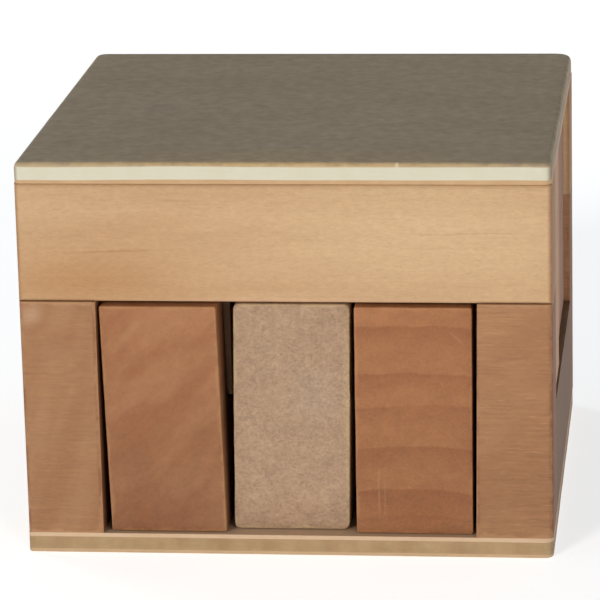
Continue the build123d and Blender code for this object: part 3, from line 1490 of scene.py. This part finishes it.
    # The upper sticks run from pale at the front to dark at the back. Beyond their own wood tones this is
    # painted light and shade: the pale front stick stands for the lit strip in the side window, the dark
    # back stick for the shade deep in it.
    upper_light: Wood = Wood(
        early=tone(186, 142, 106),
        late=tone(150, 108, 78),
        cloud=tone(172, 128, 94),
        worn=tone(200, 160, 124),
        rings=(Ring(-12.0, 0.3, 5.0), Ring(-3.0, 0.3, 6.0), Ring(9.0, 0.3, 7.0)),
        cloud_size=(30.0, 9.0, 6.0),
        mottle_share=0.2,
        speckle_share=0.3,
    )
    upper_plain: Wood = replace(
        upper_light,
        early=tone(164, 120, 88),
        late=tone(136, 92, 64),
        cloud=tone(152, 106, 76),
        worn=tone(190, 148, 114),
        pith=(-40.0, -50.0),
        rings=(Ring(-14.0, 0.4, 5.0), Ring(-6.0, 0.5, 5.0), Ring(1.0, 0.4, 4.0), Ring(12.0, 0.5, 6.0)),
    )
    upper_dark: Wood = replace(
        upper_light,
        early=tone(146, 102, 74),
        late=tone(122, 80, 54),
        cloud=tone(134, 90, 64),
        worn=tone(176, 132, 100),
        pith=(50.0, -60.0),
        rings=(Ring(-10.0, 0.5, 6.0), Ring(4.0, 0.5, 6.0), Ring(10.0, 0.4, 4.0)),
    )


FIRST_SEED, SEED_STEP = 1.7, 11.3  # the seed of the first piece, and from one to the next


@dataclass
class BurrBox:
    """The whole box, sub-assembly by sub-assembly.

    Attributes:
        finishes: Its woods.
        notch_play: Room that a notch gives, each way.
        splays: How far the inner faces of the posts that lean do so, by the posts' nodes.
    """

    finishes: Finishes = field(default_factory=Finishes)
    notch_play: float = 2 * MM
    splays: dict[str, float] = field(default_factory=lambda: {"front_right_post": 0.5 * MM})

    def plates(self) -> list[Plate]:
        """Name the two plywood plates, with their sizes and finishes.

        Returns:
            The plates.
        """
        woods = self.finishes
        top = (woods.dark_veneer, woods.cream_core, woods.face_veneer)
        bottom = (woods.inner_veneer, woods.tan_core, woods.foot_veneer)
        top_corners = {(-1, -1): 1.3 * MM, (1, -1): 1.5 * MM, (-1, 1): 2.2 * MM, (1, 1): 3.2 * MM}
        bottom_corners = {(-1, -1): 0.6 * MM, (1, -1): 1.7 * MM, (-1, 1): 1.2 * MM, (1, 1): 1.7 * MM}
        return [
            Plate("top_plate", True, top, top_corners),
            Plate("bottom_plate", False, bottom, bottom_corners, arris=0.4 * MM, glue_drift=0.2 * MM),
        ]

    def boards(self) -> list[Board]:
        """Name the glued boards of the cage, with their finishes.

        Returns:
            The posts, the sills and the rails.
        """
        sides = {"left": self.finishes.left_post, "right": self.finishes.right_post}
        ends = ("front", "back")
        posts = {f"{end}_{side}_post": wood for end in ends for side, wood in sides.items()}
        boards = [Board(node, wood, splay=self.splays.get(node, 0.0)) for node, wood in posts.items()]
        boards += [Board(f"{side}_sill", self.finishes.sill) for side in sides]
        boards += [Board(f"{end}_rail", self.finishes.rail) for end in ends]
        return boards

    def sticks(self) -> list[Stick]:
        """Name the six sliding sticks, with their notches and finishes.

        Returns:
            The sticks.
        """
        woods = self.finishes
        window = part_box("back_left_post")[0].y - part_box("front_left_post")[1].y
        across_all = window + 2 * self.notch_play
        upper_low, upper_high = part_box("upper_stick_front")
        across_key = upper_high.y - upper_low.y + 2 * self.notch_play
        rough = {"arris": 1.1 * MM, "end_arris": 0.5 * MM, "fuzz": 0.2 * MM}
        sticks = [
            Stick("key_stick", Axis.Y, Notch.NONE, 0.0, woods.key, **rough),
            Stick("lower_stick_left", Axis.Y, Notch.TOP, across_all, woods.left_stick),
            Stick("lower_stick_right", Axis.Y, Notch.TOP, across_all, woods.right_stick, fuzz=0.06 * MM),
        ]
        upper = {"front": woods.upper_light, "middle": woods.upper_plain, "back": woods.upper_dark}
        for end, wood in upper.items():
            sticks.append(Stick(f"upper_stick_{end}", Axis.X, Notch.UNDERNEATH, across_key, wood))
        return sticks

    def build(self) -> None:
        """Model and dress every piece."""
        for number, part in enumerate([*self.plates(), *self.boards(), *self.sticks()]):
            part.build(FIRST_SEED + SEED_STEP * number)


def main() -> None:
    """Build the box and the studio."""
    logging.basicConfig(level=logging.INFO, format="%(name)s %(message)s")
    BurrBox().build()
    Studio().build()


if __name__ == "__main__":
    main()
